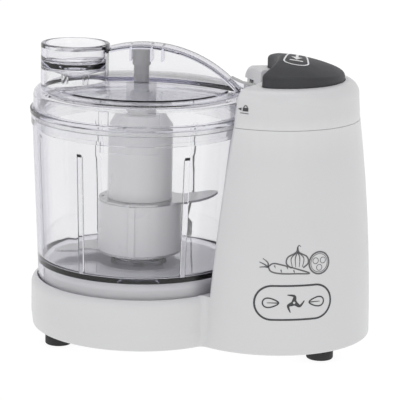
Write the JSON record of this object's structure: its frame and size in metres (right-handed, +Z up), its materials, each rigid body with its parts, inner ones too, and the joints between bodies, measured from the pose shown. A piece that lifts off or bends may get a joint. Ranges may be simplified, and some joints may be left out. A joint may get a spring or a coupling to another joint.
{
  "type": "mini food processor",
  "caption": "Small food processor: clear chopping bowl with an arched lid and oil cup, beside a tapering motor tower with a pulse button on top.",
  "frame": {"origin": "middle of the footprint, at the bottom of the feet", "axes": "+Z up; -Y is the front; the bowl stands towards -X and the motor tower towards +X"},
  "size_m": [0.1893, 0.121, 0.164],
  "materials": {
    "white_plastic": "satin moulded plastic",
    "clear_plastic": "clear, polished",
    "button_plastic": "fine matt",
    "grey_plastic": "satin",
    "hub_plastic": "satin",
    "blade_steel": "ground and polished",
    "foot_rubber": "matt",
    "silicone": "translucent matt",
    "zinc_steel": "zinc plated",
    "motor_steel": "zinc passivated",
    "core_steel": "stacked laminations",
    "shaft_steel": "ground",
    "copper": "enamelled copper",
    "bronze": "oil-filled sintered bronze",
    "ferrite": "matt ceramic",
    "carbon": "matt graphite",
    "black_plastic": "matt",
    "nylon": "matt nylon",
    "belt_rubber": "ribbed",
    "board_laminate": "phenolic laminate"
  },
  "bodies": {
    "base": {"base_housing": "white_plastic", "top_cap": "white_plastic", "cap_screws": "zinc_steel", "bottom_cover": "white_plastic", "cover_screws": "zinc_steel", "rubber_feet": "foot_rubber", "cord_gland": "black_plastic", "switch_bracket": "black_plastic", "microswitch": "black_plastic", "interlock_switch": "black_plastic", "motor_plate": "zinc_steel", "mount_grommets": "foot_rubber", "mount_screws": "zinc_steel", "motor_can": "motor_steel", "motor_screws": "zinc_steel", "motor_magnets": "ferrite", "motor_bearings": "bronze", "brush_cap": "black_plastic", "carbon_brushes": "carbon", "drive_belt": "belt_rubber", "spindle_bushes": "bronze", "circuit_board": "board_laminate", "bridge_rectifier": "black_plastic", "suppression_capacitor": "grey_plastic", "button_spring": "shaft_steel"},
    "button": {"pulse_button": "button_plastic"},
    "rotor": {"motor_shaft": "shaft_steel", "armature": "core_steel", "rotor_windings": "copper", "commutator": "copper", "cooling_fan": "black_plastic", "motor_pulley": "nylon"},
    "spindle": {"drive_spindle": "shaft_steel", "spindle_pulley": "nylon", "pulley_nut": "zinc_steel", "circlip": "shaft_steel", "drive_coupling": "grey_plastic"},
    "bowl": {"bowl": "clear_plastic"},
    "seal": {"lid_seal": "silicone"},
    "lid": {"lid": "clear_plastic", "bearing_post": "grey_plastic"},
    "blades": {"hub_skirt": "hub_plastic", "hub_post": "hub_plastic", "hub_stem": "grey_plastic", "hub_screws": "zinc_steel", "upper_blade": "blade_steel", "lower_blade": "blade_steel"},
    "plunger": {"interlock_plunger": "white_plastic"}
  },
  "joints": [
    {"name": "button_press", "type": "slide", "parent": "base", "child": "button", "axis": [0, 0, -1], "range_m": [0, 0.004], "stiffness_N_per_m": 700, "springref_m": -0.004, "deforming": ["button_spring"]},
    {"name": "motor_spin", "type": "hinge", "parent": "base", "child": "rotor", "pos_m": [0.06035, 0, 0.06], "axis": [0, 0, 1], "continuous": true},
    {"name": "spindle_spin", "type": "hinge", "parent": "base", "child": "spindle", "pos_m": [-0.03415, 0, 0.03], "axis": [0, 0, 1], "continuous": true},
    {"name": "blade_lift", "type": "slide", "parent": "spindle", "child": "blades", "axis": [0, 0, 1], "range_m": [0, 0.14]},
    {"name": "bowl_lift", "type": "slide", "parent": "base", "child": "bowl", "axis": [0, 0, 1], "range_m": [0, 0.14]},
    {"name": "lid_turn", "type": "hinge", "parent": "bowl", "child": "seal", "pos_m": [-0.03415, 0, 0.123], "axis": [0, 0, 1], "range_deg": [0, 12]},
    {"name": "lid_lift", "type": "slide", "parent": "seal", "child": "lid", "axis": [0, 0, 1], "range_m": [0, 0.07]},
    {"name": "plunger_slide", "type": "slide", "parent": "base", "child": "plunger", "axis": [-1, 0, 0], "range_m": [0, 0.0008]}
  ],
  "couplings": [
    {"joint": "spindle_spin", "follows": "motor_spin", "ratio": 0.25},
    {"joint": "blade_lift", "follows": "bowl_lift", "ratio": 1},
    {"joint": "plunger_slide", "follows": "lid_turn", "m_per_rad": 0.00382}
  ]
}
